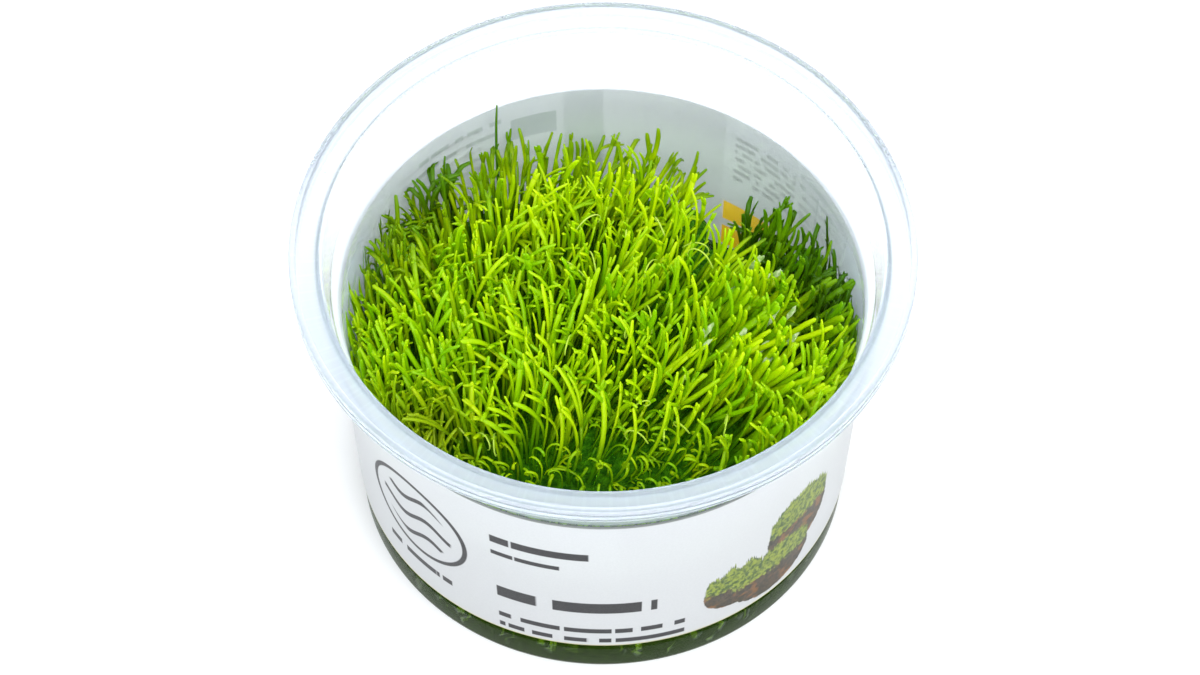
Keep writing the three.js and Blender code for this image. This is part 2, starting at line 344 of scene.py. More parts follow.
def clear_plastic():
    """Clear moulded plastic, hazy where it is thick: most in the flange, least in the foot."""
    material, tree, shader = new_material("clear_plastic")
    scaled, x, y, z = tree.place()
    out = (x * x + y * y) ** 0.5
    front = y.fade(-18, -4)
    flange = z.smooth(FLANGE - 3.5, FLANGE - 0.5)
    clouds = tree.noise(scaled, 0.35, 3.0)
    waves = tree.noise(scaled, 0.12, 1.0)

    # Painted shadow: a grey line under the rim at the front. Painted refraction: blue-grey lines along the
    # lip and the bead at the back, where the rim's edges show dark. Darker rings on the flange
    rim_shadow_line = z.band(FILM_EDGE - 0.3, FILM_EDGE, FILM_EDGE + 0.5, FILM_EDGE + 0.8) * front
    colour = tree.mix(rim_shadow_line * 0.5, CLEAR, (0.45, 0.50, 0.50))
    lip = out.near((RIM_RADIUS - LIP_WIDTH) / MM, 0.25, 0.5)
    bead = out.near((MOUTH_RADIUS + MOUTH_BEAD_WIDTH) / MM, 0.1, 0.25)
    colour = tree.mix((lip * 0.6).at_least(bead * 0.5) * y.smooth(-10, 10), colour, (0.50, 0.62, 0.70))
    rings = tree.streak(out, 1.3, 2.0).smooth(0.35, 0.62) * flange
    colour = tree.mix(rings * y.smooth(-18, 6, 0.85, 0.15), colour, (0.75, 0.85, 0.97))
    # Painted refraction: fine dark lines along the flange's outer edge, strongest at the front
    fine = z.near(LIP - 1.1, 0.12, 0.3).at_least(z.near(FLANGE - 0.35, 0.12, 0.3))
    fine = fine * out.smooth(RIM - 0.5, RIM - 0.2) * y.smooth(-18, -4, 1, 0.3)
    colour = tree.mix(fine * 0.9, colour, (0.30, 0.36, 0.40))

    # Share of haze
    ribs = tree.streak(x.maths("ARCTAN2", y) * 50, 1.1).smooth(0.5, 0.7) * flange
    shoulder = z.band(FILM_EDGE + 0.6, FILM_EDGE + 1.2, FILM_EDGE + 3.7, FILM_EDGE + 5.5)
    mist = z.band(27, 33, 44, 48) * abs(x).smooth(30, 38) * y.smooth(8, 20, 1, 0.2)
    share = z.smooth(6, 44, 0.0, 0.05) + mist * 0.3
    share = share + flange * y.smooth(-30, 25, 0.35, 0.2) * (1 - fine * 0.8) + ribs * 0.014
    share = share + (shoulder * 0.33).at_least(rim_shadow_line * 0.42)

    # The dark specular tint dims its reflections: painted shade in place of a darker floor mirrored in it
    give(shader, Base_Color=colour, Roughness=clouds.smooth(0.35, 0.75, 0.01, 0.04) + flange * 0.08,
         Normal=tree.bump(waves, 0.02, 0.3 * MM), Transmission_Weight=1.0, IOR=1.49,
         Specular_Tint=(0.1, 0.1, 0.1, 1))
    absorb(material, (0.62, 0.78, 0.97), 50)
    # Painted shade over the foot's gloss, and a little over the fine edge lines
    painted_shade = foot_painted_shade(tree, scaled, x, y, z).at_least(fine * 0.3)
    surface(material, shader, (0.89, 0.93, 0.985), share, (0.95, 0.97, 0.98), painted_shade)
    return material


def strands_near_wall(tree, scaled, x, y, z):
    """Soft strands of fronds that hang down inside the foot, as a mask."""
    along = x.maths("ARCTAN2", y) * 41
    drift = tree.noise(scaled, 0.25, 2.0)
    strands = tree.streak(along + drift * 9 + z * 0.5, 0.42, 7.0).smooth(0.52, 0.62)
    reach = tree.streak(along, 0.25, 3.0).smooth(0.3, 0.7, 1.2, 5.6)
    return strands * (z - reach).smooth(-0.6, 0.9) * abs(x).smooth(20, 34, 1, 0.2)


def foot_painted_shade(tree, scaled, x, y, z):
    """How far painted shade covers the foot: the dark green of the plants pressed against it, painted in
    place of the bright floor it would mirror.
    """
    strands = strands_near_wall(tree, scaled, x, y, z)
    return z.smooth(FOOT_BAND - 0.2, FOOT_BAND + 0.2, 0.6, 0) * (1 - strands * 0.9)


def nutrient_gel():
    """Clear gel, tinted green by the plants in it."""
    material, tree, shader = new_material("nutrient_gel")
    lumps = tree.noise(tree.place()[0], 0.4, 2.0)
    give(shader, Base_Color=NO_TINT, Roughness=lumps.smooth(0.3, 0.7, 0.03, 0.12),
         Normal=tree.bump(lumps, 0.3, 0.5 * MM), Transmission_Weight=1.0, IOR=1.34)
    absorb(material, (0.62, 0.80, 0.40), 70)
    surface(material, shader, (0.5, 0.7, 0.3), 0.02, (0.85, 0.93, 0.78))
    return material


def frond_tissue(name, old, young, deep, shade_from, shade_share):
    """Plant tissue: bright at the tips, deep green low down and at the front as painted shade, each frond a
    little its own.
    """
    material, tree, shader = new_material(name)
    scaled, x, y, z = tree.place()
    rise = tree.add("ShaderNodeAttribute", {"attribute_name": "rise"}, (), "Fac")
    tone = tree.add("ShaderNodeAttribute", {"attribute_name": "tone"}, (), "Fac")
    out = (x * x + y * y) ** 0.5
    patches = tree.noise(scaled, 0.09, 1.0)
    blend = (tone * 0.8 + patches * 0.5 + y.smooth(5, 25, -0.15, 0.12)).at_most(1).at_least(0)
    leaf = tree.mix(blend, old, young)

    # Painted shade: darker by the wall, at the front, at the right rear and on the tips by the back wall.
    # Olive at the left front
    wall_shade = out.smooth(shade_from, 42, 0, shade_share)
    front_shade = y.smooth(-38, -18, 0.9, 0)
    rear_right = (x * 0.87 + y * 0.5).smooth(26, 34, 0, 0.72) * y.smooth(-8, 4)
    leaf = tree.mix(wall_shade.at_least(front_shade).at_least(rear_right), leaf, deep)
    dark_tip = rise.smooth(0.62, 0.9) * out.smooth(27, 34) * y.smooth(2, 16) * 0.68
    leaf = tree.mix(dark_tip, leaf, DARK_TIP_GREEN)
    olive = (0 - x).smooth(17, 27) * (0 - y).smooth(10, 19) * 0.65
    leaf = tree.mix(olive, leaf, OLIVE)

    # Painted shade: deep green low down, higher up in some hollows
    hollows = tree.noise(scaled, 0.12, 1.0).smooth(0.5, 0.66)
    low = rise.smooth(0.15, hollows * 0.2 + 0.72, 0.9, 0)
    leaf = tree.mix(low, leaf, deep)

    cells = tree.noise(scaled, 2.6, 2.0)
    give(shader, Base_Color=leaf, Roughness=cells.smooth(0.3, 0.7, 0.25, 0.5),
         Normal=tree.bump(cells, 0.12, 0.12 * MM), Specular_IOR_Level=0.28)
    glow = tree.shader("ShaderNodeBsdfTranslucent", LEAF_GLOW)
    show(material, tree.blend(0.3, Socket(tree, shader.outputs[0]), glow))
    return material


def bed_tissue():
    """The dense shaded tangle that the fronds stand in."""
    material, tree, shader = new_material("bed_tissue")
    scaled, x, y, z = tree.place()
    tangle = tree.noise(scaled, 0.9, 4.0, 0.65)
    colour = tree.mix(tangle.smooth(0.35, 0.7), (0.016, 0.11, 0.001), (0.09, 0.32, 0.001))
    # Painted shade: near black towards the front
    colour = tree.mix(y.smooth(-34, -16, 0.75, 0), colour, (0.010, 0.022, 0.002))
    give(shader, Base_Color=colour, Roughness=tangle.smooth(0.3, 0.7, 0.8, 0.5),
         Normal=tree.bump(tangle, 0.9, 1.2 * MM), Specular_IOR_Level=0.08)
    return material


def submerged_tissue():
    """Deep green fronds under the gel, darkened with painted shade, with soft olive strands that show near
    the wall.
    """
    material, tree, shader = new_material("submerged_tissue")
    scaled, x, y, z = tree.place()
    clouds = tree.noise(scaled, 0.5, 3.0)
    colour = tree.mix(clouds.smooth(0.3, 0.7), (0.006, 0.030, 0.001), (0.018, 0.060, 0.002))
    colour = tree.mix(strands_near_wall(tree, scaled, x, y, z), colour, (0.15, 0.30, 0.010))
    give(shader, Base_Color=colour, Roughness=clouds.smooth(0.3, 0.7, 0.6, 0.8), Specular_IOR_Level=0.0)
    return material


def box_mask(u, v, left, right, low, high):
    """1 inside a rectangle of the unrolled sleeve, in millimetres, and 0 outside."""
    soft = 0.12
    across = u.band(left - soft, left + soft, right - soft, right + soft)
    return across * v.smooth(low - soft, low + soft) * v.fade(high - soft, high + soft)


def word_rows(tree, u, v, left, right, rows, gap, seed=0.0):
    """Rows of plain bars broken like words, each row a (middle height, bar height)."""
    ink = None
    for i, (middle, height) in enumerate(rows):
        words = tree.streak(u, 0.42 / height ** 0.5, seed + 17.3 * i).smooth(gap - 0.03, gap)
        row = box_mask(u, v, left, right, middle - height / 2, middle + height / 2) * words
        ink = row if ink is None else ink + row
    return ink


def even_rows(top, pitch, count, height):
    return [(top - pitch * i, height) for i in range(count)]


def badge(u, v, middle_u, middle_v, radius):
    """A plain ring with three waves in it."""
    du = u - middle_u
    dv = v - middle_v
    away = (du * du + dv * dv) ** 0.5
    wave = dv - (du * 0.55).maths("SINE") * 1.3
    waves = abs(wave).fade(0.55, 0.8)
    for lift in (-5.5, 5.5):
        waves = waves.at_least(wave.near(lift, 0.55, 0.8))
    return away.near(radius, 0.35, 0.6).at_least(waves * away.fade(radius - 3.0, radius - 2.4))


def amber_strips(u, v):
    """Two plain strips of colour printed at the back of the sleeve."""
    return box_mask(u, v, 101, 111.4, 20.2, 25.0).at_least(box_mask(u, v, 101, 111.4, 13.4, 18.4))


def dash_block(tree, u, v):
    """A block of short plain dashes printed at the back of the sleeve."""
    return word_rows(tree, u, v, 97, 110, even_rows(42.4, 1.7, 7, 0.9), 0.46, 120.0)


def printed_film():
    """White printed film, with a plain badge, bars like words and a small picture of grassy pebbles."""
    material, tree, shader = new_material("printed_film")
    scaled, x, y, z = tree.place()
    u = x.maths("ARCTAN2", 0 - y) * PRINT_RADIUS
    grain = tree.noise(scaled, 3.0, 2.0)
    film = tree.mix(grain.smooth(0.3, 0.7), (0.57, 0.58, 0.60), (0.60, 0.61, 0.63))

    front_rows = (
        (-18.5, -2, [(36.8, 2.2)], 0.40, 0.0),
        (-18.5, -7, [(32.4, 1.3)], 0.40, 3.0),
        (-18, 9, [(19.6, 3.4)], 0.42, 8.0),
        (-18, 14, [(11.6, 1.5), (8.3, 1.4)], 0.42, 31.0),
        (-42, -27, [(13.6, 1.6)], 0.40, 4.0),
    )
    ink = badge(u, z, -34, 28, 10.5)
    for left, right, rows, gap, seed in front_rows:
        ink = ink.at_least(word_rows(tree, u, z, left, right, rows, gap, seed))
    colour = pebble_picture(tree, scaled, u, z, tree.mix(ink, film, INK))

    colour = tree.mix(amber_strips(u, z), colour, AMBER)
    back = word_rows(tree, u, z, 62, 96, even_rows(44, 2.3, 6, 0.9), 0.43, 50.0)
    back = back.at_least(word_rows(tree, 0 - u, z, 62, 112, even_rows(43, 2.3, 5, 0.9), 0.43, 90.0))
    colour = tree.mix(back.at_least(dash_block(tree, u, z)), colour, (0.10, 0.10, 0.10))

    # Its two edges: ochre below, and at the front above, a grey band of painted shadow from the rim
    bottom = z.fade(SLEEVE_BOTTOM / MM + 0.1, SLEEVE_BOTTOM / MM + 0.35)
    colour = tree.mix(bottom * 0.7, colour, (0.62, 0.55, 0.16))
    top = z.smooth(FILM_EDGE - 0.8, FILM_EDGE - 0.5) * y.fade(-18, -4)
    colour = tree.mix(top * 0.9, colour, (0.08, 0.09, 0.08))

    give(shader, Base_Color=colour, Roughness=grain.smooth(0.3, 0.7, 0.38, 0.48),
         Normal=tree.bump(grain, 0.08, 0.1 * MM), Specular_IOR_Level=0.25)
    surface(material, shader, FILM_GLOW, (1 - ink) * 0.18, FILM_SHADE)
    return material


def pebble_picture(tree, scaled, u, v, colour):
    """Three brown-grey pebbles with short grass on them, printed small at the right."""
    spots = tree.noise(scaled, 1.1, 4.0, 0.7)
    stone = tree.mix(spots.smooth(0.35, 0.7), (0.012, 0.010, 0.009), (0.10, 0.055, 0.028))
    rust = tree.noise(scaled, 0.35, 3.0).smooth(0.52, 0.62)
    stone = tree.mix(rust * 0.8, stone, (0.22, 0.085, 0.02))
    grass = tree.mix(spots.smooth(0.4, 0.6), (0.025, 0.07, 0.005), (0.27, 0.33, 0.02))
    blades = tree.streak(u, 3.2) * 3.0 + tree.streak(u, 0.5, 5.0) * 3.0
    ragged = (spots - 0.5) * 5
    for middle_u, middle_v, wide, tall in ((36.5, 24, 7.5, 9.0), (23.5, 16, 6.5, 5.5), (31, 14, 9.0, 6.5)):
        du = (u - middle_u) / wide
        dv = (v - middle_v) / tall
        body = (du * du + dv * dv + spots * 0.35).fade(1.1, 1.16)
        colour = tree.mix(body, colour, stone)
        dome = (1 - du * du).at_least(0) ** 0.5
        turf = abs(du).fade(0.9, 0.98) * (v - (middle_v + tall * 0.75 * dome + blades)).fade(-0.2, 0.2)
        turf = turf * (v - (middle_v + tall * 0.1) + ragged).smooth(-0.3, 0.3)
        colour = tree.mix(turf, colour, grass)
    return colour


def film_inside():
    """The film's inner face: plain cool white, with the strongest print showing through, painted green light
    near the plants and a painted glow on the amber strips.
    """
    material, tree, shader = new_material("film_inside")
    scaled, x, y, z = tree.place()
    u = x.maths("ARCTAN2", 0 - y) * PRINT_RADIUS
    grain = tree.noise(scaled, 1.6, 3.0)
    colour = tree.mix(grain.smooth(0.3, 0.7), (0.55, 0.56, 0.56), (0.59, 0.60, 0.60))
    # Painted light: lighter and greener near the plants, for the green light they throw on it
    near_plants = z.fade(34, 44)
    colour = tree.mix(near_plants * 0.8, colour, (0.72, 0.80, 0.63))
    strips = amber_strips(u, z)
    colour = tree.mix(strips, colour, (0.95, 0.62, 0.001))

    picture = box_mask(u, z, -125.6, -117.6, 37.6, 42.8)
    words = word_rows(tree, 0 - u, z, 99, 116, [(43.4, 1.1), (40.6, 1.0)], 0.43, 90.0)
    block = word_rows(tree, u, z, 81, 96, even_rows(44.5, 2.6, 5, 1.0), 0.43, 50.0)
    ghost = (picture * 0.8).at_least(words * 0.7).at_least(block * 0.45)
    ghost = ghost.at_least(box_mask(u, z, 90.9, 91.4, 34, 43) * 0.6).at_least(dash_block(tree, u, z) * 0.35)
    colour = tree.mix(ghost, colour, (0.22, 0.28, 0.22))

    # Painted light: the amber strips glow, for the light that shines through the print
    glow = tree.mix(strips, (0, 0, 0), (1.0, 0.64, 0.0))
    give(shader, Base_Color=colour, Roughness=grain.smooth(0.3, 0.7, 0.45, 0.6), Emission_Color=glow,
         Specular_IOR_Level=0.05, Emission_Strength=0.3)
    surface(material, shader, FILM_GLOW, (0.42 + near_plants * 0.22) * (1 - strips), FILM_SHADE)
    return material


def pale_floor():
    material, tree, shader = new_material("pale_floor")
    speckle = tree.noise(tree.place()[0], 0.02, 2.0)
    give(shader, Base_Color=tree.mix(speckle, (0.88, 0.88, 0.88), (0.90, 0.90, 0.90)), Roughness=0.9,
         Specular_IOR_Level=0.1, Emission_Color=NO_TINT, Emission_Strength=0.09)
    return material


# Meshes

def add_object(name, data, *materials):
    """An object of a mesh, a lamp or a camera, in the scene."""
    made = bpy.data.objects.new(name, data)
    bpy.context.scene.collection.objects.link(made)
    for material in materials:
        data.materials.append(material)
    return made


def rounded(corners, radius):
    """An outline with its corners turned to short curves. A corner may give its own radius."""
    steps = 3
    points = [Vector(corner[:2]) for corner in corners]
    radii = [corner[2] if len(corner) > 2 else radius for corner in corners]
    made = [points[0]]
    for before, corner, after, own in zip(points, points[1:], points[2:], radii[1:]):
        back = before - corner
        ahead = after - corner
        cut = min(own, back.length * 0.48, ahead.length * 0.48)
        start = corner + back.normalized() * cut
        end = corner + ahead.normalized() * cut
        for i in range(steps + 1):
            t = i / steps
            made.append(start * (1 - t) ** 2 + corner * 2 * t * (1 - t) + end * t ** 2)
    return made + [points[-1]]


def around(radius, turn, z):
    """A place at a radius and an angle about Z."""
    return radius * math.cos(turn), radius * math.sin(turn), z


def skin(shape, rows):
    """Faces between rings of vertices, each row closed round. A row of one vertex is a pole."""
    for low, high in zip(rows, rows[1:]):
        count = max(len(low), len(high))
        for i in range(count):
            j = (i + 1) % count
            corners = [low[i % len(low)], low[j % len(low)], high[j % len(high)], high[i % len(high)]]
            shape.faces.new(list(dict.fromkeys(corners)))


def turned(name, profile):
    """A profile of radius and height turned about Z. It starts and ends on the axis."""
    shape = bmesh.new()
    rows = []
    for point in profile:
        steps = TURN_STEPS if point.x > 1e-7 else 1
        turns = [2 * math.pi * i / steps for i in range(steps)]
        rows.append([shape.verts.new(around(point.x, turn, point.y)) for turn in turns])
    skin(shape, rows)
    return finished(shape, name)


def plain_mesh(shape, name):
    mesh = bpy.data.meshes.new(name)
    shape.to_mesh(mesh)
    shape.free()
    return mesh


def finished(shape, name):
    """A mesh from a closed bmesh, smooth, with its faces outwards."""
    bmesh.ops.recalc_face_normals(shape, faces=shape.faces)
    for face in shape.faces:
        face.smooth = True
    mesh = plain_mesh(shape, name)
    mesh.set_sharp_from_angle(angle=SHARPEST_SMOOTH_EDGE)
    return mesh


def cup_profile():
    """Up the outside from the middle of the base, over the flange and down the inside."""
    def collar(z):
        return MOUTH_RADIUS - COLLAR_DRAFT * (FLANGE_TOP - z)

    underside = FLANGE_TOP - FLANGE_THICKNESS
    lip_inner = RIM_RADIUS - LIP_WIDTH
    bead_outer = MOUTH_RADIUS + MOUTH_BEAD_WIDTH
    bead_top = FLANGE_TOP + MOUTH_BEAD_HEIGHT
    corner = FLOOR_TOP + FLOOR_CORNER
    soft = 1.5 * MM
    points = [
        (0, BASE_RECESS),
        (FOOT_RING_INNER_RADIUS - BASE_RECESS, BASE_RECESS),
        (FOOT_RING_INNER_RADIUS, 0),
        (FOOT_RADIUS, 0),
        (FOOT_BAND_RADIUS - EDGE_ROUND / 2, FOOT_BAND_TOP - EDGE_ROUND),
        (body_radius(FOOT_BAND_TOP), FOOT_BAND_TOP),
        (body_radius(SHOULDER_HEIGHT - soft), SHOULDER_HEIGHT - soft, soft),
        (collar(SHOULDER_HEIGHT + EDGE_ROUND) + WALL, SHOULDER_HEIGHT + EDGE_ROUND, soft),
        (collar(underside) + WALL, underside),
        (RIM_RADIUS, underside),
        (RIM_RADIUS, CUP_HEIGHT),
        (lip_inner, CUP_HEIGHT),
        (lip_inner, FLANGE_TOP),
        (bead_outer, FLANGE_TOP, soft),
        (MOUTH_RADIUS + MOUTH_BEAD_WIDTH / 2, bead_top, soft),
        (MOUTH_RADIUS, FLANGE_TOP, soft),
        (collar(SHOULDER_HEIGHT + soft), SHOULDER_HEIGHT + soft, soft),
        (inner_radius(SHOULDER_HEIGHT - soft), SHOULDER_HEIGHT - soft, soft),
        (inner_radius(corner), corner),
        (inner_radius(corner) - FLOOR_CORNER, FLOOR_TOP),
        (0, FLOOR_TOP),
    ]
    return rounded(points, EDGE_ROUND)


def gel_profile():
    """A disc with a flat bottom, whose surface climbs a little up the wall."""
    corner = GEL_BOTTOM + FLOOR_CORNER
    climb = 1.2 * MM
    points = [
        (0, GEL_BOTTOM),
        (inner_radius(corner) - FLOOR_CORNER - FIT_GAP, GEL_BOTTOM),
        (inner_radius(corner) - FIT_GAP, corner),
        (inner_radius(GEL_TOP) - FIT_GAP, GEL_TOP),
        (inner_radius(GEL_TOP) - FIT_GAP - climb, GEL_TOP - climb / 2),
        (0, GEL_TOP - climb / 2),
    ]
    return rounded(points, EDGE_ROUND)


def make_cup():
    piece = add_object("cup_shell", turned("cup_shell", cup_profile()), clear_plastic())
    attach(piece, "root")
    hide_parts("cup")


def make_gel():
    piece = add_object("gel_disc", turned("gel_disc", gel_profile()), nutrient_gel())
    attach(piece, "root")
    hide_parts("gel")


def make_sleeve():
    """The film's wrap: its outer end laps over its inner end at the back."""
    shape = bmesh.new()
    whole = 2 * math.pi + FILM_LAP
    heights = [i / FILM_ROWS for i in range(FILM_ROWS + 1)]
    section = [(0, share) for share in reversed(heights)] + [(1, share) for share in heights]
    rings = []
    for i in range(FILM_STEPS + 1):
        along = whole * i / FILM_STEPS
        turn = math.pi / 2 + along
        lift = FILM_THICKNESS * min(1, max(0, (along - 2 * math.pi + FILM_LAP) / FILM_LAP))
        ring = []
        for side, share in section:
            z = SLEEVE_BOTTOM + (FILM_TOP - SLEEVE_BOTTOM) * share
            bulge = FILM_STAND_OFF * math.cos(turn) ** 2 * (1 - share)
            radius = body_radius(z) + FIT_GAP + lift + bulge + FILM_THICKNESS * side
            ring.append(shape.verts.new(around(radius, turn, z)))
        rings.append(ring)
    for one, other in zip(rings, rings[1:]):
        for j, k in zip(range(len(section)), [*range(1, len(section)), 0]):
            shape.faces.new((one[j], one[k], other[k], other[j]))
    shape.faces.new(rings[0])
    shape.faces.new(list(reversed(rings[-1])))
    mesh = finished(shape, "sleeve")
    piece = add_object("sleeve", mesh, printed_film(), film_inside())
    for face in mesh.polygons:
        outward = Vector((face.center.x, face.center.y, 0)).normalized()
        face.material_index = 1 if face.normal.dot(outward) < -0.5 else 0
    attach(piece, "root")
    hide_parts("label")


# Plants

def dip(degrees, angle, width, depth):
    """A smooth dip of the outline, deepest at its angle."""
    away = (degrees - angle + 180) % 360 - 180
    return depth * math.exp(-((away / width) ** 2))


def spread_radius(degrees):
    """How far the cushion spreads in a direction, in degrees from +X."""
    return SPREAD_RADIUS - dip(degrees, **REAR_RETREAT) - dip(degrees, **REAR_GAP)


def canopy_height(x, y):
    """Height that the frond tips reach over a point of the plan."""
    out = math.hypot(x, y) / SPREAD_RADIUS
    front = max(0, -y / SPREAD_RADIUS)
    return CROWN_HEIGHT - EDGE_DROP * out ** 2 - FRONT_DROP * front ** 2


def bed_height(x, y):
    """Height of the bed's lumpy surface."""
    lumps = noise.noise(Vector((x, y, 0)) / BED_LUMP_SIZE) * BED_LUMP_HEIGHT
    return canopy_height(x, y) - BED_DEPTH + lumps


class Ribbons:
    """Collects the rings of forked ribbons, with how far up the frond each vertex is."""

    def __init__(self):
        self.points = []
        self.faces = []
        self.rise = []

    def ring(self, centre, side, face, width, thickness, rise):
        start = len(self.points)
        for i in range(FROND_SIDES):
            turn = 2 * math.pi * i / FROND_SIDES
            offset = side * math.cos(turn) * width / 2 + face * math.sin(turn) * thickness / 2
            self.points.append(centre + offset)
            self.rise.append(rise)
        return start

    def join(self, low, high):
        for i in range(FROND_SIDES):
            j = (i + 1) % FROND_SIDES
            self.faces.append((low + i, low + j, high + j, high + i))

    def cap(self, start, centre, rise, at_end):
        middle = len(self.points)
        self.points.append(centre)
        self.rise.append(rise)
        for i in range(FROND_SIDES):
            j = (i + 1) % FROND_SIDES
            self.faces.append((start + i, start + j, middle) if at_end else (start + j, start + i, middle))

    def branch(self, start, length, widths, steps, bend, curl, rises, tip, power=1.0):
        """One stretch of ribbon from a (place, heading, side). Gives the same three at its end.

        It bends in its own plane and curls out of it, the more towards its end the higher the power.
        """
        place, heading, side = start
        whole = sum((i + 1) ** power for i in range(steps))
        low = None
        for i in range(steps + 1):
            t = i / steps
            width = FROND_WIDTH * (widths[0] + (widths[1] - widths[0]) * t)
            if tip and i == steps:
                width *= 0.72
            thickness = FROND_THICKNESS * width / FROND_WIDTH
            face = heading.cross(side)
            rise = rises[0] + (rises[1] - rises[0]) * t
            ring = self.ring(place, side, face, width, thickness, rise)
            if low is None:
                self.cap(ring, place - heading * width * 0.2, rise, False)
            else:
                self.join(low, ring)
            low = ring
            if i < steps:
                share = (i + 1) ** power / whole
                turn = Matrix.Rotation(bend * share, 3, face) @ Matrix.Rotation(curl * share, 3, side)
                heading = (turn @ heading).normalized()
                side = (side - heading * side.dot(heading)).normalized()
                place = place + heading * length / steps
        self.cap(low, place + heading * width * (0.4 if tip else 0.15), rises[1], True)
        return place, heading, side

    def fork(self, start, length, width, spread, steps, curl, rises):
        """Two arms that part in the ribbon's plane and then run on side by side."""
        place, heading, side = start
        face = heading.cross(side)
        ends = []
        for way in (-1, 1):
            turn = Matrix.Rotation(way * spread, 3, face)
            arm = (place - heading * FROND_WIDTH * 0.25, turn @ heading, turn @ side)
            ends.append(self.branch(arm, length * (1 + way * 0.12), (width, width * 0.95), steps,
                                    -way * spread * 0.8, curl, rises, True))
        return ends

    def mesh(self, name):
        mesh = bpy.data.meshes.new(name)
        mesh.from_pydata([tuple(point) for point in self.points], [], self.faces)
        attribute = mesh.attributes.new("rise", "FLOAT", "POINT")
        attribute.data.foreach_set("value", self.rise)
        mesh.shade_smooth()
        return mesh


def make_frond(name, dice, curl, power, steps, broad):
    """A frond that stands up from the origin, its flat side to X, and leans over to X as it curls."""
    ribbons = Ribbons()
    start = (Vector((0, 0, 0)), Vector((0, 0, 1)), Vector((0, 1, 0)))
    kind = dice.random()
    bend = dice.uniform(-0.3, 0.3)
    wide = dice.uniform(0.78, 1.15) * broad
    foot = 0.7 * wide
    if kind < 0.35:
        # Forked near its tip
        stem = dice.uniform(0.84, 0.92)
        widths = (foot, 1.05 * wide)
        end = ribbons.branch(start, FROND_LENGTH * stem, widths, steps, bend, curl, (0, stem), False, power)
        spread = dice.uniform(0.25, 0.42)
        ribbons.fork(end, FROND_LENGTH * (1 - stem), 0.8 * wide, spread, 2, curl * 0.3, (stem, 1))
    elif kind < 0.55:
        # Forked half-way up
        stem = dice.uniform(0.45, 0.62)
        widths = (foot, wide)
        end = ribbons.branch(start, FROND_LENGTH * stem, widths, 4, bend, curl * 0.5, (0, stem), False, power)
        spread = dice.uniform(0.16, 0.3)
        ribbons.fork(end, FROND_LENGTH * (1 - stem), 0.92 * wide, spread, 5, curl * 0.7, (stem, 1))
    else:
        widths = (foot, 0.95 * wide)
        ribbons.branch(start, FROND_LENGTH, widths, steps + 1, bend, curl, (0, 1), True, power)
    return ribbons.mesh(name)


def frond_kinds(label, curls, power, steps, seed, broad=1.0):
    """A hidden collection of fronds, each a little different, for the growth tree to pick from."""
    kinds = bpy.data.collections.new(label)
    dice = random.Random(seed)
    for i in range(FROND_KINDS):
        name = f"{label}_{i}"
        frond = make_frond(name, dice, dice.uniform(*curls), power, steps, broad)
        kinds.objects.link(bpy.data.objects.new(name, frond))
    return kinds


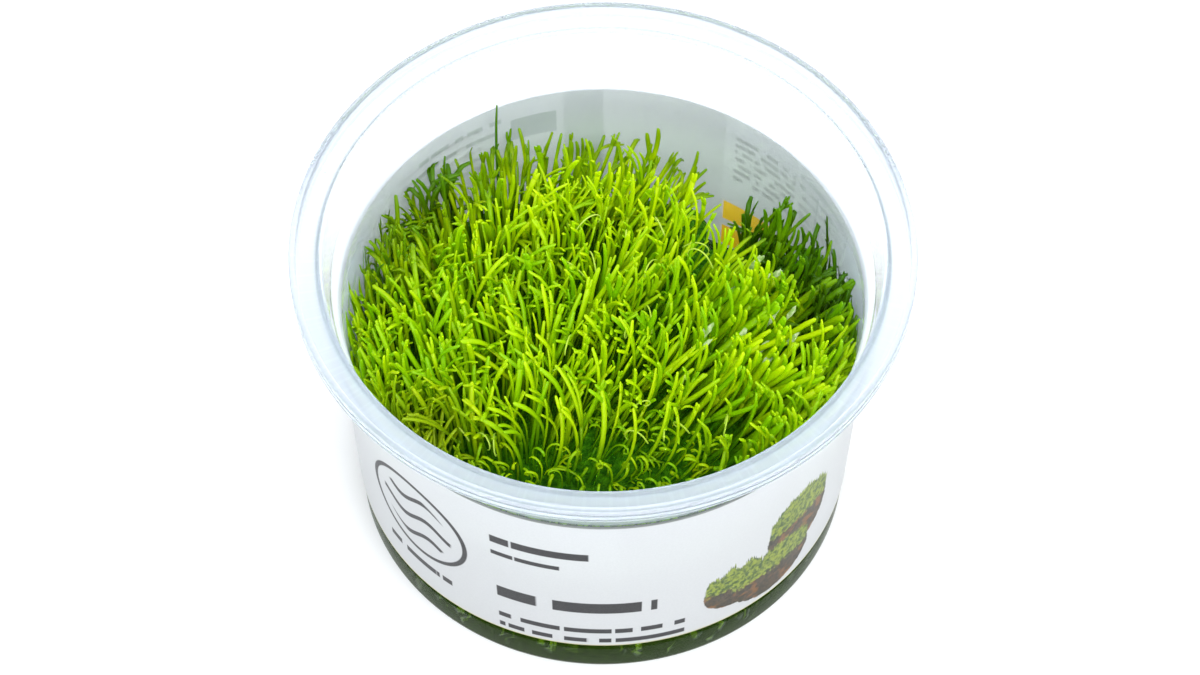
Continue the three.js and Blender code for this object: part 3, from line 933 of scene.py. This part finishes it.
def growth_tree():
    """Geometry Nodes: fronds stood on a ground mesh, leaning as the plan says, kept inside the cup's wall."""
    group = bpy.data.node_groups.new("frond_growth", "GeometryNodeTree")
    tree = Tree(group)
    sockets = {"Ground": "Geometry", "Fronds": "Collection", "Material": "Material", "Seed": "Int"}
    for name in ("Spacing", "Density", "Smallest", "Largest", "Lean", "Side lean", "Back lean", "Scatter",
                 "Swirl", "Wall radius", "Wall draft"):
        sockets[name] = "Float"
    for name, kind in sockets.items():
        group.interface.new_socket(name, in_out="INPUT", socket_type=f"NodeSocket{kind}")
    group.interface.new_socket("Plants", in_out="OUTPUT", socket_type="NodeSocketGeometry")
    source = tree.node("NodeGroupInput")
    given = {output.name: Socket(tree, output) for output in source.outputs if output.name}

    points = tree.add("GeometryNodeDistributePointsOnFaces", {"distribute_method": "POISSON"}, {
        "Mesh": given["Ground"], "Distance Min": given["Spacing"], "Density Max": given["Density"],
        "Seed": given["Seed"]})
    where = tree.add("GeometryNodeInputPosition")
    x, y, z = tree.parts(where)

    def chance(low, high, channel):
        node = tree.node("FunctionNodeRandomValue", {"data_type": "FLOAT"}, {"Seed": given["Seed"] + channel})
        for socket, value in zip([s for s in node.inputs if s.type == "VALUE"], (low, high)):
            put(value, socket)
        return Socket(tree, [s for s in node.outputs if s.type == "VALUE"][0])

    waves = {"Vector": where, "Scale": 1 / SWIRL_SIZE, "Detail": 1.0}
    swirl = tree.parts(tree.add("ShaderNodeTexNoise", None, waves, "Color"))
    swirl_x, swirl_y, swirl_z = [way - 0.5 for way in swirl]
    right = (x / SPREAD_RADIUS).at_least(0)
    outward = x.smooth(LEFT_LEAN_FROM, RIGHT_LEAN_FROM, -1.0, 1.0)
    lean_x = given["Side lean"] + given["Lean"] * (outward + right * right * RIGHT_SHARE)
    lean_y = given["Back lean"] + given["Lean"] * y / SPREAD_RADIUS * FRONT_BACK_SHARE
    scatter = given["Scatter"]
    lean_x = lean_x + swirl_x * given["Swirl"] + chance(-1.0, 1.0, 1) * scatter
    lean_y = lean_y + swirl_y * given["Swirl"] + chance(-1.0, 1.0, 2) * scatter
    lean = tree.add("ShaderNodeCombineXYZ", None, [lean_x, lean_y, 1.0])
    upright = tree.add("FunctionNodeAlignRotationToVector", {"axis": "Z"}, {"Vector": lean})
    facing_x = chance(-0.3, 0.3, 3) + swirl_z * 2.0 - lean_x
    facing_y = chance(-0.3, 0.3, 6) + swirl_x * 2.0 - lean_y
    facing = tree.add("ShaderNodeCombineXYZ", None, [facing_x, facing_y, 0.0])
    spun = tree.add("FunctionNodeAlignRotationToVector", {"axis": "X", "pivot_axis": "Z"},
                    {"Rotation": upright, "Vector": facing})
    kinds = tree.add("GeometryNodeCollectionInfo", None, {
        "Collection": given["Fronds"], "Separate Children": True, "Reset Children": True})
    size = chance(given["Smallest"], given["Largest"], 4)
    stood = tree.add("GeometryNodeInstanceOnPoints", None, {
        "Points": points, "Instance": kinds, "Pick Instance": True, "Rotation": spun, "Scale": size})
    toned = tree.add("GeometryNodeStoreNamedAttribute", {"data_type": "FLOAT", "domain": "INSTANCE"}, {
        "Geometry": stood, "Name": "tone", "Value": chance(0.0, 1.0, 5)})
    real = tree.add("GeometryNodeRealizeInstances", None, [toned])
    limit = given["Wall radius"] + given["Wall draft"] * z
    radius = (x * x + y * y) ** 0.5
    share = (limit / radius.at_least(MM)).at_most(1.0)
    inside = tree.add("ShaderNodeCombineXYZ", None, [x * share, y * share, z])
    kept = tree.add("GeometryNodeSetPosition", None, {"Geometry": real, "Position": inside})
    plants = tree.add("GeometryNodeSetMaterial", None, {"Geometry": kept, "Material": given["Material"]})
    tree.node("NodeGroupOutput", None, [plants])
    return group


def grow(name, ground, group, settings):
    """Runs the growth tree on a ground mesh and keeps the result as a plain mesh."""
    piece = add_object(name, ground)
    modifier = piece.modifiers.new("growth", "NODES")
    modifier.node_group = group
    for item in group.interface.items_tree:
        if item.in_out == "INPUT" and item.name in settings:
            modifier[item.identifier] = settings[item.name]
    evaluated = piece.evaluated_get(bpy.context.evaluated_depsgraph_get())
    mesh = bpy.data.meshes.new_from_object(evaluated)
    piece.modifiers.remove(modifier)
    piece.data = mesh
    bpy.data.meshes.remove(ground)
    for face in mesh.polygons:
        face.use_smooth = True
    return piece


def leaned_tip(x, y, side_lean, back_lean):
    """Where a frond that stands at a point of the plan has its tip, without the scatter."""
    right = max(0, x / SPREAD_RADIUS)
    share = min(1, max(0, (x - LEFT_LEAN_FROM) / (RIGHT_LEAN_FROM - LEFT_LEAN_FROM)))
    outward = 2 * share * share * (3 - 2 * share) - 1
    lean_x = side_lean + OUTWARD_LEAN * (outward + RIGHT_SHARE * right ** 2)
    lean_y = back_lean + FRONT_BACK_SHARE * OUTWARD_LEAN * y / SPREAD_RADIUS
    reach = 0.8 * FROND_LENGTH
    return x + lean_x * reach, y + lean_y * reach


def in_clearing(x, y):
    """Whether a point of the plan lies in the gap at the right rear, through which the sleeve shows."""
    across = (x - CLEARING["x"]) / CLEARING["across"]
    along = (y - CLEARING["y"]) / CLEARING["along"]
    return across ** 2 + along ** 2 < 1


def has_room(x, y, side_lean, back_lean):
    """Whether a frond may stand at a point of the plan: in the outline, clear of the tufts and the gap."""
    tip_x, tip_y = leaned_tip(x, y, side_lean, back_lean)
    if in_clearing(x, y) or in_clearing(tip_x, tip_y) or in_clearing((x + tip_x) / 2, (y + tip_y) / 2):
        return False
    spread = spread_radius(math.degrees(math.atan2(y, x))) - 0.4 * MM
    tip_spread = spread_radius(math.degrees(math.atan2(tip_y, tip_x))) + 1.5 * MM
    inside = math.hypot(x, y) < spread and math.hypot(tip_x, tip_y) < tip_spread
    return inside and not in_tuft(x, y) and not in_tuft(tip_x, tip_y)


def beside_wall(x, y, first, last):
    """Whether a point of the plan lies close to the wall, between two directions in degrees."""
    degrees = math.degrees(math.atan2(y, x)) % 360
    return WALL_BAND[0] < math.hypot(x, y) < WALL_BAND[1] and (degrees - first) % 360 < last - first


def ground_patch(name, chosen):
    """A net over the bed, of the cells whose middle belongs to this patch."""
    shape = bmesh.new()
    verts = {}

    def plan(i, j):
        step = 2 * SPREAD_RADIUS / PATCH_COLUMNS
        return -SPREAD_RADIUS + i * step, -SPREAD_RADIUS + j * step

    def vertex(i, j):
        if (i, j) not in verts:
            x, y = plan(i, j)
            verts[i, j] = shape.verts.new((x, y, bed_height(x, y) - ROOT_DEPTH))
        return verts[i, j]

    for i in range(PATCH_COLUMNS):
        for j in range(PATCH_COLUMNS):
            if chosen(*plan(i + 0.5, j + 0.5)):
                shape.faces.new((vertex(i, j), vertex(i + 1, j), vertex(i + 1, j + 1), vertex(i, j + 1)))
    return plain_mesh(shape, name)


def in_tuft(x, y):
    """Whether a point of the plan belongs to one of the tufts that stand apart."""
    for tuft in TUFTS.values():
        turn = math.radians(tuft["angle"])
        along = y * math.cos(turn) - x * math.sin(turn)
        across = x * math.cos(turn) + y * math.sin(turn) - tuft["radius"]
        if math.hypot(across / (tuft["across"] + TUFT_MARGIN), along / (tuft["along"] + TUFT_MARGIN)) < 1:
            return True
    return False


def tuft_ground(name, tuft):
    """An oval ground for one tuft."""
    steps = 20
    shape = bmesh.new()
    turn = math.radians(tuft["angle"])
    ring = []
    for i in range(steps):
        way = 2 * math.pi * i / steps
        across = tuft["radius"] + tuft["across"] * 0.9 * math.cos(way)
        along = tuft["along"] * (0.95 if way > math.pi else 0.8) * math.sin(way)
        x = across * math.cos(turn) - along * math.sin(turn)
        y = across * math.sin(turn) + along * math.cos(turn)
        ring.append(shape.verts.new((x, y, tuft["height"] - FROND_LENGTH)))
    shape.faces.new(ring)
    return plain_mesh(shape, name)


def make_bed():
    """The closed lumpy body under the fronds."""
    turns = 96
    rings = 26
    top_inset = 0.6 * MM
    foot_inset = 1 * MM
    rounding = 3 * MM
    shape = bmesh.new()
    rows = [[shape.verts.new((0, 0, bed_height(0, 0)))]]
    for ring in range(1, rings + 1):
        row = []
        for i in range(turns):
            degrees = 360 * i / turns
            radius = (spread_radius(degrees) - top_inset) * ring / rings
            x, y = around(radius, math.radians(degrees), 0)[:2]
            row.append(shape.verts.new((x, y, bed_height(x, y) - rounding * (ring / rings) ** 14)))
        rows.append(row)
    foot = []
    for i in range(turns):
        degrees = 360 * i / turns
        radius = min(spread_radius(degrees), inner_radius(PLANT_BASE)) - foot_inset
        foot.append(shape.verts.new(around(radius, math.radians(degrees), PLANT_BASE)))
    skin(shape, rows + [foot, [shape.verts.new((0, 0, PLANT_BASE))]])
    piece = add_object("cushion_bed", finished(shape, "cushion_bed"), bed_tissue())
    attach(piece, "root")
    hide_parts("cushion")


def sizes(smallest, largest, spacing):
    """Settings for fronds' least and greatest scale, and their distance in millimetres."""
    return {"Smallest": smallest, "Largest": largest, "Spacing": spacing * MM}


def make_fronds():
    """The fronds, in patches that lean, curl and crowd each in its own way, then the four tufts."""
    group = growth_tree()
    upright = frond_kinds("upright_frond", (-0.4, 1.1), 2.0, 8, 11)
    arched = frond_kinds("arched_frond", (0.3, 1.1), 1.0, 9, 13)
    hooked = frond_kinds("hooked_frond", (2.4, 6.0), 5.0, 14, 12)
    bent = frond_kinds("bent_frond", (-2.2, 2.6), 6.0, 10, 14)
    strap = frond_kinds("strap_frond", (-0.3, 0.9), 1.5, 8, 15, 1.3)
    bright = frond_tissue("frond_tissue", (0.30, 0.66, 0.001), (0.79, 0.97, 0.002), (0.022, 0.20, 0.001),
                          37, 0.3)
    dark = frond_tissue("shaded_frond_tissue", (0.06, 0.18, 0.002), (0.21, 0.38, 0.003), (0.018, 0.08, 0.001),
                        33, 0.45)

    lawn = {"Fronds": upright, "Material": bright, "Density": DENSEST_GROWTH, "Lean": OUTWARD_LEAN,
            "Side lean": SIDE_LEAN, "Back lean": BACK_LEAN, "Scatter": 0.08, "Swirl": 0.4,
            "Wall radius": inner_radius(0) - 0.2 * MM, "Wall draft": BODY_DRAFT, **sizes(0.7, 1.06, 1.13)}
    combed = {**lawn, "Back lean": 0.38, "Scatter": 0.06, "Swirl": 0.3, **sizes(0.8, 1.12, 1.13)}
    swept = {**lawn, "Fronds": strap, "Side lean": 0.44, "Back lean": 0.33, "Scatter": 0.06, "Swirl": 0.22,
             **sizes(0.9, 1.22, 1.3)}
    tangle = {**lawn, "Fronds": hooked, "Side lean": 0.05, "Back lean": 0.0, "Scatter": 0.4,
              **sizes(0.45, 0.76, 1.45)}
    loose = {**lawn, "Fronds": arched, "Scatter": 0.13, **sizes(1.0, 1.2, 2.9)}
    rear = {**lawn, "Back lean": 0.3, **sizes(0.72, 0.97, 1.25)}
    knobbed = {**rear, "Fronds": bent, "Scatter": 0.15, **sizes(0.86, 1.0, 2.3)}

    def in_front(x, y):
        return x < 18 * MM and y <= (LEFT_PART_FRONT if x < LEFT_PART else FRONT_PART)

    patches = {
        "fronds_rear_left": (rear, lambda x, y: y > 0 and x < LEFT_PART),
        "fronds_rear": (rear, lambda x, y: y > REAR_PART and x >= LEFT_PART),
        "fronds_rear_tips": (knobbed, lambda x, y: y > REAR_PART and math.hypot(x, y) > 20 * MM),
        "fronds_middle": (lawn, lambda x, y: FRONT_PART < y <= REAR_PART and LEFT_PART <= x < 10 * MM),
        "fronds_left": (combed, lambda x, y: LEFT_PART_FRONT < y <= 0 and x < LEFT_PART),
        "fronds_right": (swept, lambda x, y: y <= REAR_PART and x >= (10 if y > FRONT_PART else 18) * MM),
        "fronds_front": (tangle, in_front),
        "fronds_loose": (loose, lambda x, y: y > -24 * MM and math.hypot(x, y) < 30 * MM),
    }

    def roomy(settings, chosen):
        """The chosen places where a frond that leans this way has room."""
        return lambda x, y: has_room(x, y, settings["Side lean"], settings["Back lean"]) and chosen(x, y)

    patches = {name: (settings, roomy(settings, chosen)) for name, (settings, chosen) in patches.items()}

    edge = {**lawn, "Side lean": 0.0, "Lean": 0.2, "Swirl": 0.3, **sizes(0.65, 0.95, 0.85)}
    right_wall = {"Side lean": 0.1, "Back lean": 0.55, "Swirl": 0.15, **sizes(0.8, 1.15, 1.2)}
    right_curtain = {"Fronds": bent, "Material": dark, "Side lean": -0.12, "Back lean": 0.3, "Largest": 1.0}
    by_wall = {
        "fronds_right_wall": (-64, -8, right_wall),
        "fronds_right_curtain": (-10, 24, right_curtain),
        "fronds_left_wall": (140, 236, {"Back lean": 0.1}),
        "fronds_front_wall": (236, 296, sizes(0.5, 0.78, 1.1)),
    }
    for name, (first, last, own) in by_wall.items():
        patches[name] = ({**edge, **own}, partial(beside_wall, first=first, last=last))

    for seed, (name, (settings, chosen)) in enumerate(patches.items()):
        piece = grow(name, ground_patch(name, chosen), group, {**settings, "Seed": seed + 1})
        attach(piece, "root")
        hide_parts("cushion")

    tufts = {**lawn, "Fronds": bent, "Material": dark, "Side lean": 0.0, "Back lean": 0.05, "Lean": 0.08,
             "Swirl": 0.25, **sizes(0.82, 1.06, 0.78)}
    own = {"tuft_right": {"Side lean": -0.12, "Back lean": 0.25}, "tuft_rear_right": {"Side lean": -0.06},
           "tuft_rear_left": {"Smallest": 0.98, "Largest": 1.14}}
    for seed, (name, tuft) in enumerate(TUFTS.items()):
        settings = {**tufts, **own.get(name, {}), "Seed": 20 + seed}
        piece = grow(f"{name}_fronds", tuft_ground(name, tuft), group, settings)
        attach(piece, "root")
        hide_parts(name)

    for kinds in (upright, arched, hooked, bent, strap):
        for frond in list(kinds.objects):
            bpy.data.objects.remove(frond)
        bpy.data.collections.remove(kinds)


def make_long_frond():
    """The one thin frond that stands far above the rest."""
    ribbons = Ribbons()
    along = LONG_FROND_TIP - LONG_FROND_ROOT
    heading = along.normalized()
    side = (Vector((1, 0, 0)) - heading * heading.x).normalized()
    root = (LONG_FROND_ROOT, heading, side)
    ribbons.branch(root, along.length, (0.7, 0.45), 9, 0.12, -0.1, (0.3, 0.8), True)
    tissue = frond_tissue("long_frond_tissue", (0.04, 0.16, 0.004), (0.06, 0.20, 0.004), (0.01, 0.07, 0.002),
                          30, 0.3)
    piece = add_object("long_frond_ribbon", ribbons.mesh("long_frond_ribbon"), tissue)
    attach(piece, "root")
    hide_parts("long_frond")


def make_threads():
    """Thin pale tips that curl up like springs, here and there on the cushion."""
    ribbons = Ribbons()
    dice = random.Random(31)
    for i in range(THREADS):
        x = dice.uniform(-22, 20) * MM
        y = dice.uniform(-27, 16) * MM
        turn = dice.uniform(0, 2 * math.pi)
        place = Vector((x, y, canopy_height(x, y) - dice.uniform(1.5, 3.5) * MM))
        heading = Vector((math.cos(turn) * 0.7, math.sin(turn) * 0.7, 1)).normalized()
        side = Vector((-math.sin(turn), math.cos(turn), 0))
        length = dice.uniform(4, 8) * MM
        ribbons.branch((place, heading, side), length, (0.34, 0.26), 12, dice.uniform(-1.5, 1.5),
                       dice.uniform(2.5, 6.5), (0.8, 1), True, 1.3)
    tissue = frond_tissue("pale_thread_tissue", (0.70, 0.88, 0.08), (0.90, 0.97, 0.30), (0.2, 0.5, 0.02),
                          60, 0)
    piece = add_object("pale_threads", ribbons.mesh("pale_threads"), tissue)
    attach(piece, "root")
    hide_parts("cushion")


def wet_water():
    """Water that bridges neighbouring fronds, its whitish colour a painted reflection of the room."""
    material, tree, shader = new_material("wet_water")
    ripple = tree.noise(tree.place()[0], 1.2, 1.0)
    # Painted reflection: a whitish green base colour
    colour = tree.mix(ripple.smooth(0.4, 0.65), (0.74, 0.82, 0.52), (0.40, 0.58, 0.18))
    give(shader, Base_Color=colour, Roughness=ripple.smooth(0.3, 0.7, 0.12, 0.3),
         Normal=tree.bump(ripple, 0.3, 0.2 * MM), Transmission_Weight=0.2, IOR=1.33, Specular_IOR_Level=0.2)
    surface(material, shader, (0.80, 0.92, 0.66), 0.1, (0.95, 0.98, 0.93))
    return material


def make_wet_spots():
    """Small flat films of water between the leaning fronds at the right. Half sizes are in millimetres."""
    long = 1.45
    wide = 0.46
    thick = 0.2
    shape = bmesh.new()
    dice = random.Random(47)
    for i in range(WET_SPOTS):
        x = dice.uniform(16, 35) * MM
        y = dice.uniform(-16, 12) * MM
        place = Vector((x, y, canopy_height(x, y) - dice.uniform(0.8, 2.0) * MM))
        along = Vector((dice.uniform(0.7, 1.0), dice.uniform(0.2, 0.7), 0.9)).normalized()
        across = along.cross(Vector((0, -0.6, 1))).normalized()
        size = dice.uniform(0.75, 1.2)
        axes = (along * long * MM * size, across * wide * MM * size, across.cross(along) * thick * MM)
        reach = Matrix(axes).transposed().to_4x4()
        for vert in bmesh.ops.create_icosphere(shape, subdivisions=2, radius=1)["verts"]:
            vert.co *= 1 + 0.5 * noise.noise(vert.co * 1.7 + Vector((i, 0, 0)))
            vert.co = reach @ vert.co + place
    piece = add_object("wet_spots", finished(shape, "wet_spots"), wet_water())
    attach(piece, "root")
    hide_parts("cushion")


def make_submerged():
    """The shaded mass of fronds that the gel presses against the cup's foot."""
    pressed = 0.2 * MM
    corner = FLOOR_TOP + FLOOR_CORNER
    top = GEL_TOP - 1.6 * MM
    points = [
        (0, BASE_RECESS + pressed),
        (FOOT_RING_INNER_RADIUS - BASE_RECESS, BASE_RECESS + pressed),
        (FOOT_RING_INNER_RADIUS + pressed, pressed),
        (FOOT_RADIUS - 2 * pressed, pressed),
        (inner_radius(corner) + 2 * pressed, corner),
        (inner_radius(top) + pressed, top),
        (0, top),
    ]
    profile = rounded(points, pressed)
    piece = add_object("submerged_mass", turned("submerged_mass", profile), submerged_tissue())
    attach(piece, "root")


# Studio

def make_floor():
    size = 3.0
    mesh = bpy.data.meshes.new("floor")
    corners = [(-size, -size, 0), (size, -size, 0), (size, size, 0), (-size, size, 0)]
    mesh.from_pydata(corners, [], [(0, 1, 2, 3)])
    add_object("floor", mesh, pale_floor())


def make_light():
    """An even white surround that greys towards the ceiling, and one broad lamp above at the right."""
    world = bpy.data.worlds.new("studio")
    bpy.context.scene.world = world
    world.use_nodes = True
    tree = Tree(world.node_tree)
    up = tree.parts(tree.add("ShaderNodeTexCoord", None, (), "Generated"))[2]
    backdrop = world.node_tree.nodes["Background"]
    put(tree.mix(up.smooth(0.3, 0.95), CLEAR, (0.86, 0.91, 0.97)), backdrop.inputs["Color"])
    put(1.3, backdrop.inputs["Strength"])

    lamp = bpy.data.lights.new("softbox", "AREA")
    lamp.shape = "RECTANGLE"
    lamp.size = 0.7
    lamp.size_y = 0.5
    lamp.energy = 5
    holder = add_object("softbox", lamp)
    holder.location = (0.22, -0.48, 0.92)
    aim = Vector((0, 0, 0.04)) - holder.location
    holder.rotation_euler = aim.to_track_quat("-Z", "Y").to_euler()


def make_camera():
    """The photograph's view: from the front, a little over 55 degrees down."""
    pitch = math.radians(55.56)
    camera = bpy.data.cameras.new("camera")
    camera.lens = 117
    camera.sensor_width = 36
    camera.clip_start = 0.01
    holder = add_object("camera", camera)
    holder.location = (-0.0005, -0.3624, 0.5646)
    holder.rotation_euler = (math.pi / 2 - pitch, 0, 0)
    bpy.context.scene.camera = holder
    bpy.context.scene.view_settings.view_transform = "Standard"


make_camera()
make_light()
make_floor()
make_cup()
make_gel()
make_sleeve()
make_submerged()
make_bed()
make_fronds()
make_long_frond()
make_threads()
make_wet_spots()
